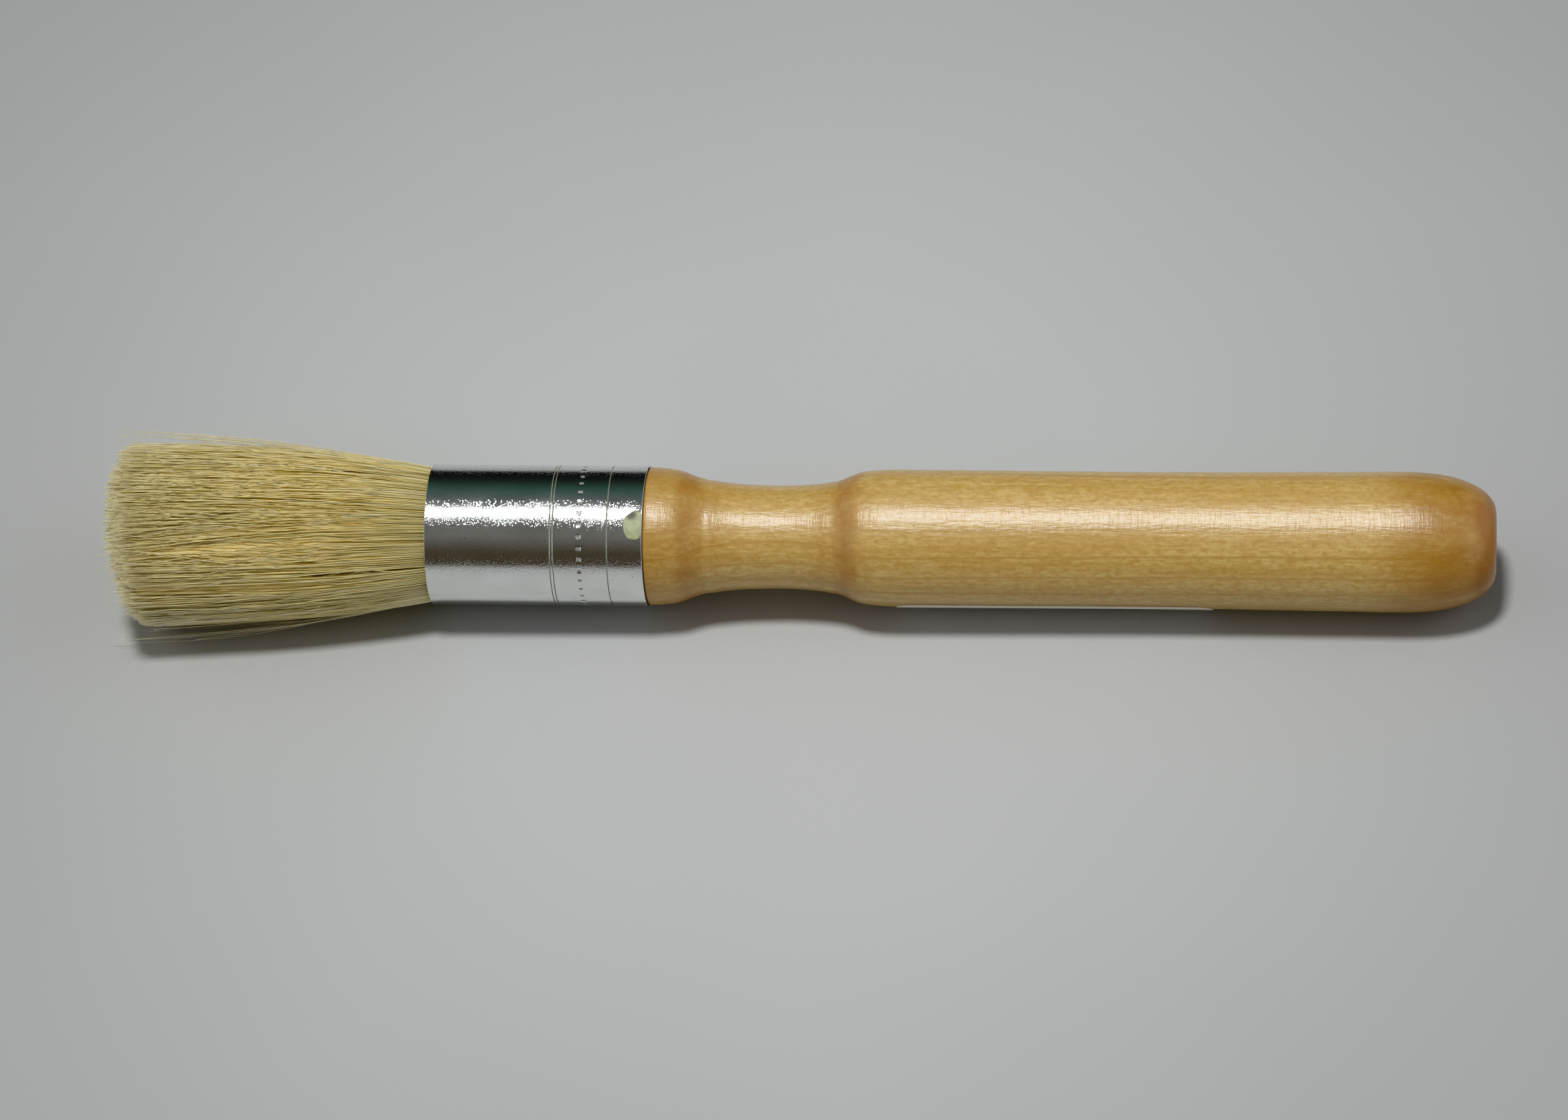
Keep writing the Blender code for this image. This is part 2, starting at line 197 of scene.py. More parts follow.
# Camera, floor and light
CAMERA_AZIMUTH = math.radians(9.8)
CAMERA_ELEVATION = math.radians(51)
CAMERA_ROLL = math.radians(-7.5)
CAMERA_DISTANCE = 0.885
CAMERA_LENS = 142.5
AIM_RIGHT = -1.72 * MM
AIM_UP = -2.89 * MM
AIM_HEIGHT = 10.5 * MM
FLOOR_HALF = 1.5
LAMP_SIZE = 0.33
LAMP_POWER = 28.5
LAMP_COLOUR = (0.985, 0.985, 0.985)
LAMP_PLACE = (-0.15, -0.08, 2.0)
SKY = (  # from level with the floor on the viewer's side, up overhead, to level on the far side
    (0.0, (0.10, 0.085, 0.07)),
    (0.12, (0.10, 0.088, 0.07)),
    (0.20, (0.145, 0.14, 0.125)),
    (0.28, (0.20, 0.195, 0.185)),
    (0.40, (0.16, 0.16, 0.155)),
    (0.60, (0.15, 0.155, 0.155)),
    (0.70, (0.10, 0.145, 0.135)),
    (0.77, (0.065, 0.10, 0.085)),
    (0.84, (0.045, 0.05, 0.045)),
    (0.92, (0.028, 0.028, 0.03)),
    (1.0, (0.03, 0.028, 0.03)),
)
SKY_ENDS = (0.98, 0.98, 1.0)  # beyond the bristles and beyond the butt


# ---------------------------------------------------------------- places

def place(points):
    """World positions of points given as rows of (station, side, up)."""
    points = np.asarray(points, float)
    along = (points[..., 0:1] - BUTT_STATION) * AXIS
    return BUTT_POINT + along + points[..., 1:2] * SIDE + points[..., 2:3] * UP


def on_round(station, radius, angle):
    """Brush coordinates on a turned surface. Angle 0 faces -Y and a right angle faces up."""
    station, radius, angle = np.broadcast_arrays(station, radius, angle)
    return np.stack((station, -radius * np.cos(angle), radius * np.sin(angle)), axis=-1)


def floor_depth(station):
    """Distance from the axis down to z = 0, square to the axis."""
    height = BUTT_POINT[2] + (station - BUTT_STATION) * AXIS[2]
    return height / UP[2]


def smoothstep(value):
    value = np.clip(value, 0.0, 1.0)
    return value * value * (3.0 - 2.0 * value)


def bell(value, width):
    return np.exp(-0.5 * (value / width) ** 2)


def wrapped(angle):
    """The same angle within half a turn of nought."""
    return np.mod(angle + math.pi, math.tau) - math.pi


def smooth_through(knots, heights, at):
    """Smooth curve through heights at knots, which makes no new bumps between them."""
    steps = np.diff(heights) / np.diff(knots)
    product = steps[:-1] * steps[1:]
    total = steps[:-1] + steps[1:]
    inner = np.where(product > 0.0, 2.0 * product / np.where(total == 0.0, 1.0, total), 0.0)
    slopes = np.concatenate((steps[:1], inner, steps[-1:]))
    index = np.clip(np.searchsorted(knots, at, side="right") - 1, 0, len(knots) - 2)
    width = knots[index + 1] - knots[index]
    t = np.clip((at - knots[index]) / width, 0.0, 1.0)
    rise = t * t * (3.0 - 2.0 * t)
    pull_start = slopes[index] * width * t * (1.0 - t) ** 2
    pull_end = slopes[index + 1] * width * t * t * (1.0 - t)
    return heights[index] * (1.0 - rise) + heights[index + 1] * rise + pull_start - pull_end


def cad_outline(node):
    """Stations and radii of the rings of a turned CAD node, front to back, read from its corners."""
    corners = np.array([vert.co for vert in frame["nodes"][node].data.vertices])
    offset = corners - BUTT_POINT
    along = offset @ AXIS
    radius = np.linalg.norm(offset - np.outer(along, AXIS), axis=1)
    rings = {}
    for step, reach in zip(np.round((along + BUTT_STATION) / MM, 2), radius):
        rings[step] = max(rings.get(step, 0.0), reach)
    stations = np.array(sorted(rings))
    return stations * MM, np.array([rings[step] for step in stations])


# ---------------------------------------------------------------- meshes

def add_mesh(name, verts, faces, material):
    mesh = bpy.data.meshes.new(name)
    mesh.from_pydata(np.asarray(verts).reshape(-1, 3).tolist(), [], faces)
    mesh.validate()
    mesh.materials.append(material)
    mesh.shade_smooth()
    made = bpy.data.objects.new(name, mesh)
    bpy.context.scene.collection.objects.link(made)
    return made


def add_attribute(piece, name, values):
    attribute = piece.data.attributes.new(name, "FLOAT", "POINT")
    attribute.data.foreach_set("value", np.asarray(values, np.float32).ravel())


def add_vectors(piece, name, values):
    attribute = piece.data.attributes.new(name, "FLOAT_VECTOR", "POINT")
    attribute.data.foreach_set("vector", np.asarray(values, np.float32).ravel())


def grid_faces(rows, columns, wrap_rows=False, wrap_columns=False, start=0):
    """Quads of a grid of rows by columns, closed round either way."""
    row_count = rows if wrap_rows else rows - 1
    column_count = columns if wrap_columns else columns - 1
    r, c = np.meshgrid(np.arange(row_count), np.arange(column_count), indexing="ij")
    r, c = r.ravel(), c.ravel()
    r2, c2 = (r + 1) % rows, (c + 1) % columns
    quads = np.stack((r * columns + c, r * columns + c2, r2 * columns + c2, r2 * columns + c), axis=1)
    return (quads + start).tolist()


def capped_faces(rows, columns):
    """Faces of a tube of rings, closed at each end round a point. The two points follow the rings."""
    faces = grid_faces(rows, columns, wrap_columns=True)
    front = rows * columns
    last = front - columns
    for i in range(columns):
        j = (i + 1) % columns
        faces.append((j, i, front))
        faces.append((last + i, last + j, front + 1))
    return faces


def ride_for(piece, body, slot, *nodes):
    """Ties a new piece to its body and hides the CAD nodes that it stands for. The slot is not used."""
    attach(piece, body)
    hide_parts(*nodes)
    return piece


# ---------------------------------------------------------------- shader helpers

class Nodes:
    """Short calls for adding shader nodes to one node tree."""

    def __init__(self, tree):
        self.tree = tree

    def node(self, kind, **settings):
        made = self.tree.nodes.new(kind)
        for key, value in settings.items():
            setattr(made, key, value)
        return made

    def link(self, source, target):
        if isinstance(source, bpy.types.NodeSocket):
            self.tree.links.new(source, target)
        else:
            target.default_value = source

    def ramp(self, factor, *stops):
        """Colour ramp through stops of (place, value or colour)."""
        made = self.node("ShaderNodeValToRGB")
        elements = made.color_ramp.elements
        while len(elements) < len(stops):
            elements.new(0.5)
        for element, (at, value) in zip(elements, stops):
            element.position = at
            colour = value if isinstance(value, tuple) else (value, value, value)
            element.color = (*colour, 1.0)
        self.link(factor, made.inputs["Fac"])
        return made.outputs["Color"]

    def mix(self, factor, a, b):
        made = self.node("ShaderNodeMix", data_type="RGBA")
        self.link(factor, made.inputs["Factor"])
        for value, socket in ((a, made.inputs[6]), (b, made.inputs[7])):
            self.link((*value, 1.0) if isinstance(value, tuple) else value, socket)
        return made.outputs[2]

    def maths(self, operation, a, b=0.5):
        made = self.node("ShaderNodeMath", operation=operation)
        self.link(a, made.inputs[0])
        self.link(b, made.inputs[1])
        return made.outputs[0]


class Shade(Nodes):
    """One procedural material. Its noises and spots lie in object coordinates, or in another place."""

    def __init__(self, name):
        self.material = bpy.data.materials.new(name)
        self.material.use_nodes = True
        super().__init__(self.material.node_tree)
        self.shader = self.tree.nodes["Principled BSDF"]
        self.place = self.node("ShaderNodeTexCoord").outputs["Object"]

    def set(self, **values):
        for key, value in values.items():
            self.link(value, self.shader.inputs[key.replace("_", " ")])

    def attribute(self, name, output="Fac"):
        return self.node("ShaderNodeAttribute", attribute_name=name).outputs[output]

    def stretched(self, size, offset=(0.0, 0.0, 0.0)):
        """The place in units of size (x, y, z), in millimetres, moved by offset."""
        mapping = self.node("ShaderNodeMapping")
        self.link(self.place, mapping.inputs["Vector"])
        mapping.inputs["Scale"].default_value = [1.0 / (length * MM) for length in size]
        mapping.inputs["Location"].default_value = offset
        return mapping.outputs["Vector"]

    def noise(self, size, detail=2.0, roughness=0.5, offset=(0.0, 0.0, 0.0), distortion=0.0):
        made = self.node("ShaderNodeTexNoise")
        self.link(self.stretched(size, offset), made.inputs["Vector"])
        made.inputs["Scale"].default_value = 1.0
        made.inputs["Detail"].default_value = detail
        made.inputs["Roughness"].default_value = roughness
        made.inputs["Distortion"].default_value = distortion
        return made.outputs["Fac"]

    def spots(self, size, offset=(0.0, 0.0, 0.0)):
        """Distance to the nearest of scattered points."""
        made = self.node("ShaderNodeTexVoronoi")
        self.link(self.stretched(size, offset), made.inputs["Vector"])
        made.inputs["Scale"].default_value = 1.0
        return made.outputs["Distance"]

    def bump(self, height, depth, below=None):
        """Bump of height times depth, in millimetres, on top of the bump below."""
        made = self.node("ShaderNodeBump")
        self.link(height, made.inputs["Height"])
        made.inputs["Distance"].default_value = depth * MM
        if below is not None:
            self.link(below, made.inputs["Normal"])
        return made.outputs["Normal"]


# ---------------------------------------------------------------- materials

def growth_rings(m):
    """Bands with one sharp side each, which run nearly in line with the handle."""
    rings = m.node("ShaderNodeTexWave", wave_type="BANDS", bands_direction="Z", wave_profile="SAW")
    m.link(m.stretched((160.0, 7.0, 9.0), offset=(0.0, 0.3, 0.1)), rings.inputs["Vector"])
    for name, value in (("Scale", 1.0), ("Distortion", 2.2), ("Detail", 3.0), ("Detail Scale", 0.9)):
        rings.inputs[name].default_value = value
    return rings.outputs["Fac"]


def wood_colour(m, patches, crosswise):
    fibres = m.noise((5.0, 0.3, 0.3), detail=3.0, roughness=0.6)
    streaks = m.noise((38.0, 1.3, 1.3), detail=4.0, roughness=0.6, distortion=0.3)
    mottle = m.noise((1.1, 0.6, 0.6), detail=4.0, roughness=0.65, offset=(0.0, 3.0, 3.0))
    blots = m.noise((5.0, 2.6, 2.6), detail=3.0, offset=(3.0, 1.0, 0.0))
    colour = m.ramp(streaks, (0.3, (0.53, 0.34, 0.105)), (0.62, (0.64, 0.465, 0.18)))
    colour = m.mix(m.ramp(patches, (0.42, 0.0), (0.72, 0.55)), colour, (0.57, 0.36, 0.115))
    colour = m.mix(m.ramp(growth_rings(m), (0.84, 0.0), (0.97, 0.5)), colour, (0.36, 0.20, 0.05))
    colour = m.mix(m.ramp(fibres, (0.36, 0.4), (0.52, 0.0)), colour, (0.43, 0.25, 0.07))
    colour = m.mix(m.ramp(crosswise, (0.55, 0.0), (0.75, 0.2)), colour, (0.72, 0.55, 0.26))
    colour = m.mix(m.ramp(mottle, (0.36, 0.8), (0.6, 0.0)), colour, (0.45, 0.27, 0.07))
    soaked = m.maths("MULTIPLY", m.attribute("end_grain"), m.ramp(blots, (0.3, 1.0), (0.75, 0.55)))
    return m.mix(m.ramp(soaked, (0.04, 0.0), (0.5, 1.0)), colour, (0.30, 0.115, 0.0))


def wood_material():
    """Pale close-grained wood under satin lacquer, darker where the end grain drinks it in."""
    m = Shade("lacquered_wood")
    patches = m.noise((14.0, 4.0, 4.0), detail=3.0, offset=(5.0, 0.0, 0.0))
    crosswise = m.noise((0.17, 1.2, 1.2), detail=2.0, offset=(0.0, 9.0, 0.0))
    lengthwise = m.noise((1.5, 0.16, 0.16), detail=2.0, offset=(0.0, 5.0, 0.0))
    waviness = m.noise((5.0, 0.55, 0.55), detail=2.0, offset=(7.0, 0.0, 0.0))
    turning = m.noise((0.55, 4.0, 4.0), detail=2.0, offset=(1.0, 2.0, 0.0))
    lacquer = m.bump(lengthwise, 0.03)
    lacquer = m.bump(crosswise, 0.03, lacquer)
    lacquer = m.bump(waviness, 0.05, lacquer)
    lacquer = m.bump(turning, 0.045, lacquer)
    m.set(Base_Color=wood_colour(m, patches, crosswise), Roughness=m.ramp(patches, (0.3, 0.5), (0.7, 0.62)))
    m.set(Normal=lacquer, Coat_Normal=lacquer, Coat_Weight=1.0, Coat_Roughness=0.3, Coat_IOR=1.55)
    return m.material


def tin_material():
    """Bright tinplate with a fine speckle, rub marks, dark specks and dirt in its grooves."""
    m = Shade("tinplate")
    speckle = m.noise((0.25, 0.22, 0.22), detail=2.0, roughness=0.5)
    grains = m.spots((0.26, 0.2, 0.2), offset=(4.0, 0.0, 0.0))
    clouds = m.noise((5.0, 3.0, 3.0), detail=4.0)
    rubs = m.noise((0.5, 7.0, 7.0), detail=3.0, offset=(2.0, 0.0, 0.0))
    specks = m.spots((1.9, 1.9, 1.9))
    dirt = m.attribute("groove")
    colour = m.ramp(clouds, (0.3, (0.76, 0.77, 0.75)), (0.7, (0.84, 0.85, 0.84)))
    colour = m.mix(m.ramp(specks, (0.03, 0.85), (0.06, 0.0)), colour, (0.20, 0.19, 0.17))
    colour = m.mix(m.ramp(dirt, (0.3, 0.0), (0.5, 1.0)), colour, (0.15, 0.155, 0.10))
    surface = m.bump(speckle, 0.014)
    surface = m.bump(m.ramp(grains, (0.05, 1.0), (0.38, 0.0)), 0.01, surface)
    surface = m.bump(rubs, 0.003, surface)
    m.set(Base_Color=colour, Normal=surface, Metallic=m.ramp(dirt, (0.3, 1.0), (0.5, 0.0)))
    roughness = m.ramp(clouds, (0.3, 0.08), (0.7, 0.13))
    m.set(Roughness=m.mix(m.ramp(dirt, (0.3, 0.0), (0.5, 1.0)), roughness, (0.6, 0.6, 0.6)))
    return m.material


def bristle_material():
    """Natural bristle: straw to pale gold, with a share of orange-brown ones, paler towards the tips, and
    painted shade towards the roots.
    """
    m = Shade("bristle")
    m.place = m.attribute("strand", "Vector")
    tone = m.attribute("tone")
    colour = m.ramp(
        tone,
        (0.0, (0.60, 0.34, 0.07)),
        (0.1, (0.74, 0.51, 0.14)),
        (0.28, (0.85, 0.67, 0.25)),
        (0.55, (0.91, 0.75, 0.32)),
        (0.85, (0.93, 0.81, 0.39)),
        (1.0, (0.96, 0.90, 0.60)),
    )
    along = m.attribute("along")
    colour = m.mix(m.ramp(along, (0.6, 0.0), (1.0, 0.5)), colour, (0.90, 0.82, 0.48))
    # Painted shade towards the roots: the hairs darken near the ferrule's mouth.
    colour = m.mix(m.ramp(along, (0.08, 0.5), (0.4, 0.0)), colour, (0.60, 0.53, 0.27))
    blotches = m.noise((4.0, 0.35, 0.35), detail=2.0)
    colour = m.mix(m.ramp(blotches, (0.36, 0.2), (0.5, 0.0)), colour, (0.66, 0.44, 0.14))
    m.set(Base_Color=colour, Roughness=m.ramp(tone, (0.0, 0.5), (1.0, 0.36)), IOR=1.5)
    m.set(Subsurface_Weight=0.65, Subsurface_Radius=(1.0, 1.0, 1.0), Subsurface_Scale=0.5 * MM)
    m.set(Specular_IOR_Level=0.08)
    return m.material


def pressed_bristle_material():
    """The bundle's core: fine strands pressed together, with painted shade where the hairs above part."""
    m = Shade("pressed_bristle")
    m.place = m.attribute("strand", "Vector")
    strands = m.noise((7.0, 0.11, 0.11), detail=3.0, roughness=0.6)
    bands = m.noise((16.0, 0.9, 0.9), detail=3.0)
    colour = m.ramp(
        strands,
        (0.3, (0.55, 0.39, 0.14)),
        (0.42, (0.68, 0.53, 0.23)),
        (0.56, (0.77, 0.64, 0.31)),
        (0.7, (0.84, 0.74, 0.41)),
    )
    colour = m.mix(m.ramp(bands, (0.3, 0.4), (0.5, 0.0)), colour, (0.58, 0.40, 0.12))
    # Painted shade along the partings, where the hairs above part.
    colour = m.mix(m.ramp(m.attribute("parting"), (0.15, 0.0), (0.6, 0.95)), colour, (0.05, 0.03, 0.012))
    m.set(Base_Color=colour, Roughness=m.ramp(bands, (0.3, 0.5), (0.7, 0.65)), Normal=m.bump(strands, 0.05))
    m.set(Specular_IOR_Level=0.1)
    return m.material


def glue_material():
    """Glue that dried to a dull, slightly cloudy skin, with painted shade in its pit."""
    m = Shade("dried_glue")
    clouds = m.noise((0.7, 0.7, 0.7), detail=4.0)
    grains = m.noise((0.12, 0.12, 0.12), detail=2.0, offset=(1.0, 0.0, 0.0))
    colour = m.ramp(clouds, (0.35, (0.36, 0.38, 0.22)), (0.65, (0.47, 0.50, 0.31)))
    colour = m.mix(m.ramp(grains, (0.3, 0.4), (0.5, 0.0)), colour, (0.2, 0.2, 0.12))
    # Painted shade in the pit: the glue darkens towards the pit's middle.
    pit = m.ramp(m.attribute("pit"), (0.25, 0.0), (0.8, 0.9))
    colour = m.mix(pit, colour, (0.08, 0.07, 0.05))
    m.set(Base_Color=colour, Roughness=m.ramp(clouds, (0.3, 0.45), (0.7, 0.6)), Normal=m.bump(grains, 0.01))
    return m.material


def resin_material():
    """Cast amber resin, cloudy where it has drawn in among the bristles."""
    m = Shade("resin")
    clouds = m.noise((3.0, 3.0, 3.0), detail=4.0)
    bubbles = m.spots((0.9, 0.9, 0.9))
    colour = m.ramp(clouds, (0.3, (0.34, 0.19, 0.06)), (0.7, (0.52, 0.33, 0.13)))
    colour = m.mix(m.ramp(bubbles, (0.08, 0.6), (0.16, 0.0)), colour, (0.62, 0.46, 0.24))
    m.set(Base_Color=colour, Roughness=m.ramp(clouds, (0.3, 0.25), (0.7, 0.4)), Normal=m.bump(bubbles, 0.02))
    return m.material


def packed_roots_material():
    """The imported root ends, seen end on as dots and from the side as fibres."""
    m = Shade("packed_roots")
    fibres = m.noise((12.0, 0.2, 0.2), detail=3.0)
    colour = m.ramp(fibres, (0.36, (0.30, 0.20, 0.08)), (0.6, (0.66, 0.52, 0.25)))
    m.set(Base_Color=colour, Roughness=m.ramp(fibres, (0.3, 0.55), (0.7, 0.7)), Normal=m.bump(fibres, 0.04))
    return m.material


def paper_material():
    """Plain white label paper with faint fibres and a little rubbed grime."""
    m = Shade("label_paper")
    fibres = m.noise((0.5, 0.1, 0.1), detail=3.0)
    grime = m.noise((9.0, 6.0, 6.0), detail=4.0)
    colour = m.ramp(fibres, (0.35, (0.66, 0.60, 0.51)), (0.6, (0.76, 0.71, 0.62)))
    colour = m.mix(m.ramp(grime, (0.52, 0.0), (0.8, 0.3)), colour, (0.60, 0.55, 0.46))
    m.set(Base_Color=colour, Roughness=m.ramp(fibres, (0.3, 0.7), (0.7, 0.85)), Normal=m.bump(fibres, 0.008))
    return m.material


def floor_material():
    """Plain pale floor with a painted light falloff: it darkens gently away from the brush, as a lit table
    does.
    """
    m = Shade("pale_floor")
    clouds = m.noise((90.0, 90.0, 90.0), detail=2.0)
    weave = m.noise((0.6, 0.35, 0.5), detail=2.0)
    # Painted light falloff: the floor's colour darkens with distance from the brush.
    distance = m.node("ShaderNodeVectorMath", operation="LENGTH")
    m.link(m.stretched((390.0, 460.0, 400.0)), distance.inputs[0])
    stops = ((0.0, 0.0), (0.12, 0.03), (0.27, 0.2), (0.42, 0.36), (1.0, 0.72))
    painted_light_falloff = m.ramp(distance.outputs["Value"], *stops)
    colour = m.ramp(clouds, (0.3, (0.462, 0.473, 0.469)), (0.7, (0.482, 0.491, 0.487)))
    colour = m.mix(painted_light_falloff, colour, (0.10, 0.10, 0.095))
    m.set(Base_Color=colour, Roughness=0.9, Normal=m.bump(weave, 0.02))
    return m.material


# ---------------------------------------------------------------- handle

def handle_outline():
    """Stations and radii of the spigot, the collar's face, the smoothed CAD outline and the butt's face."""
    stations, radii = cad_outline("handle")
    shoulder = int(np.argmax(stations > FERRULE_LENGTH))
    path = np.stack((stations[shoulder:], radii[shoulder:]), axis=1)
    travel = np.concatenate(([0.0], np.cumsum(np.linalg.norm(np.diff(path, axis=0), axis=1))))
    at = np.linspace(0.0, travel[-1], HANDLE_ROWS)
    turned = np.stack([smooth_through(travel, path[:, i], at) for i in range(2)], axis=1)
    front, radius = stations[0], radii[shoulder - 1]
    collar = FERRULE_LENGTH + COLLAR_GAP
    spigot = [
        (front, 0.3 * radius),
        (front, radius - SPIGOT_CHAMFER),
        (front + SPIGOT_CHAMFER, radius),
        (collar, radius),
        (collar, turned[0, 1] - COLLAR_EDGE),
    ]
    face = [(BUTT_STATION, turned[-1, 1] * share) for share in (0.75, 0.4)]
    return np.concatenate((spigot, turned, face))


def soaked_grain(outline):
    """How far the outline cuts across the grain, with the soaked collar and butt on top."""
    station = outline[:, 0]
    run, rise = np.gradient(station), np.gradient(outline[:, 1])
    cut_across = np.abs(rise) / (np.hypot(run, rise) + 1e-9)
    collar = COLLAR_SOAK * bell(station - FERRULE_LENGTH, COLLAR_SOAK_LENGTH)
    butt = BUTT_SOAK * smoothstep((station - BUTT_SOAK_START) / BUTT_SOAK_LENGTH)
    return np.maximum(np.maximum(cut_across, collar), butt)


def build_handle(material):
    """Smooth turned handle through the CAD handle's rings, closed at the spigot and the butt."""
    outline = handle_outline()
    angles = np.arange(HANDLE_COLUMNS) * math.tau / HANDLE_COLUMNS
    points = on_round(outline[:, 0:1], outline[:, 1:2], angles[None, :])
    ends = place(((outline[0, 0], 0.0, 0.0), (BUTT_STATION, 0.0, 0.0)))
    verts = np.concatenate((place(points).reshape(-1, 3), ends))
    piece = add_mesh("turned_handle", verts, capped_faces(len(outline), HANDLE_COLUMNS), material)
    end_grain = np.repeat(soaked_grain(outline), HANDLE_COLUMNS)
    add_attribute(piece, "end_grain", np.concatenate((end_grain, (1.0, 1.0))))
    return ride_for(piece, "handle", "lacquered_wood", "handle")


# ---------------------------------------------------------------- ferrule

def ferrule_stations():
    """Rows along the ferrule, close together at the rolled lines, the marks and both edges."""
    rows = [np.linspace(0.0, FERRULE_LENGTH, 44)]
    for line in LINE_STATIONS:
        rows.append(line + np.linspace(-3.0, 3.0, 13) * LINE_WIDTH)
    rows.append(MARK_STATION + np.linspace(-1.5, 1.5, 13) * MARK_HALF_LENGTH)
    for edge, inward in ((0.0, 1.0), (FERRULE_LENGTH, -1.0)):
        rows.append(edge + inward * np.array((0.04, 0.12, 0.25, 0.5)) * MM)
    return np.unique(np.round(np.concatenate(rows), 6))


def ferrule_marks(station, angle):
    """One inside the plain punched marks, nought outside them."""
    pitch = math.tau / MARK_COUNT
    arc = (np.mod(angle - MARK_PHASE + 0.5 * pitch, pitch) - 0.5 * pitch) * FERRULE_RADIUS
    across = smoothstep((MARK_HALF_ARC - np.abs(arc)) / MARK_SOFT_ARC + 0.5)
    along = smoothstep((MARK_HALF_LENGTH - np.abs(station - MARK_STATION)) / MARK_SOFT_LENGTH + 0.5)
    return across * along


def flared_radius(from_edge):
    """The plain tube's outer radius at a distance from its nearest edge."""
    return FERRULE_RADIUS + FLARE * np.clip(1.0 - from_edge / FLARE_LENGTH, 0.0, 1.0) ** 2


def ferrule_surface(station, angle):
    """Outer radius of the tinplate: flared ends, rolled lines, punched marks and the lap seam."""
    radius = flared_radius(np.minimum(station, FERRULE_LENGTH - station))
    for line in LINE_STATIONS:
        radius = radius - LINE_DEPTH * bell(station - line, LINE_WIDTH)
    middle = 0.5 * (LINE_STATIONS[0] + LINE_STATIONS[1])
    radius = radius + RIDGE_HEIGHT * bell(station - middle, RIDGE_WIDTH)
    radius = radius - MARK_DEPTH * ferrule_marks(station, angle)
    seam = np.mod(angle - SEAM_ANGLE, math.tau) * FERRULE_RADIUS
    lap = np.where(seam < SEAM_ARC, SEAM_LIFT * smoothstep(seam / SEAM_ARC), 0.0)
    return radius + lap


def ferrule_dirt(station, angle):
    """Where dirt stays on the ferrule: in the rolled lines, in the marks and along the lap seam."""
    lines = sum(bell(station - line, LINE_WIDTH) for line in LINE_STATIONS)
    seam = wrapped(angle - SEAM_ANGLE - SEAM_ARC / FERRULE_RADIUS) * FERRULE_RADIUS
    return np.clip(lines + 0.45 * ferrule_marks(station, angle) + bell(seam, SEAM_DIRT_WIDTH), 0.0, 1.0)


def edge_ring(row, way):
    """Ring half-way through the wall and just past the row's edge, which is the rear one if way is 1."""
    ring = row.copy()
    ring[:, 0] += way * EDGE_ROUNDING
    ring[:, 1:] *= 1.0 - 0.5 * way * FERRULE_WALL / FERRULE_RADIUS
    return ring[None]


def build_ferrule(material):
    """One tinplate tube: its outer face, rounded edges and inner face in one closed skin."""
    stations = ferrule_stations()
    columns = MARK_COUNT * COLUMNS_PER_MARK
    angles = np.arange(columns) * math.tau / columns
    outer_radius = ferrule_surface(stations[:, None], angles[None, :])
    outer = on_round(stations[:, None], outer_radius, angles[None, :])
    inner_stations = np.unique(np.concatenate((stations[::3], stations[-1:])))[::-1]
    inner_radius = ferrule_surface(inner_stations[:, None], angles[None, :]) - FERRULE_WALL
    inner = on_round(inner_stations[:, None], inner_radius, angles[None, :])
    grid = np.concatenate((outer, edge_ring(outer[-1], 1.0), inner, edge_ring(inner[-1], -1.0)))
    faces = grid_faces(len(grid), columns, wrap_rows=True, wrap_columns=True)
    piece = add_mesh("tinplate_ferrule", place(grid), faces, material)
    dirt = np.zeros(grid.shape[:2])
    dirt[: len(stations)] = ferrule_dirt(stations[:, None], angles[None, :])
    add_attribute(piece, "groove", dirt)
    return ride_for(piece, "handle", "tinplate", "ferrule")


# ---------------------------------------------------------------- glue drop and label

def build_glue_drop(material):
    """Irregular dried drop that ends at the ferrule's rear edge, with a pit near its top."""
    rings, columns = 16, 56
    turn = np.arange(columns) * math.tau / columns
    outline = 1.0 + 0.05 * np.sin(2 * turn + 0.6) + 0.04 * np.sin(3 * turn - 1.0) + 0.03 * np.sin(5 * turn)
    reach = np.linspace(0.0, 1.0, rings + 1)[1:, None]
    station = DROP_STATION + DROP_HALF_LENGTH * reach * outline * np.cos(turn)
    station = np.minimum(station, FERRULE_LENGTH - DROP_END_GAP)
    arc = DROP_HALF_ARC * reach * outline * np.sin(turn)
    angle = DROP_ANGLE + arc / FERRULE_RADIUS
    pit = bell(np.hypot(station - PIT_STATION, arc - PIT_ARC), PIT_WIDTH)
    rim = bell(reach - 0.86, 0.09)
    swell = np.sqrt(np.clip(1.0 - reach**4, 0.0, 1.0)) * (0.8 + 0.35 * rim)
    lift = DROP_THICKNESS * (swell - 0.75 * pit * swell)
    flat = flared_radius(FERRULE_LENGTH - station)
    top = on_round(station, flat + DROP_RIM + lift, angle)
    base = on_round(station[::-4], flat[::-4] + DROP_UNDERSIDE, angle[::-4])
    grid = np.concatenate((top, base[1:]))
    crown = on_round(DROP_STATION, FERRULE_RADIUS + 0.8 * DROP_THICKNESS, DROP_ANGLE)
    under = on_round(DROP_STATION, FERRULE_RADIUS + DROP_UNDERSIDE, DROP_ANGLE)
    verts = np.concatenate((place(grid).reshape(-1, 3), place(np.stack((crown, under)))))
    faces = capped_faces(len(grid), columns)
    piece = add_mesh("dried_glue_drop", verts, faces, material)
    # The pit's depth also sets the painted shade in it.
    depth = np.concatenate((pit, pit[::-4][1:])).ravel()
    add_attribute(piece, "pit", np.concatenate((depth, (0.0, 0.0))))
    return ride_for(piece, "handle", "dried_glue", "glue_drop")


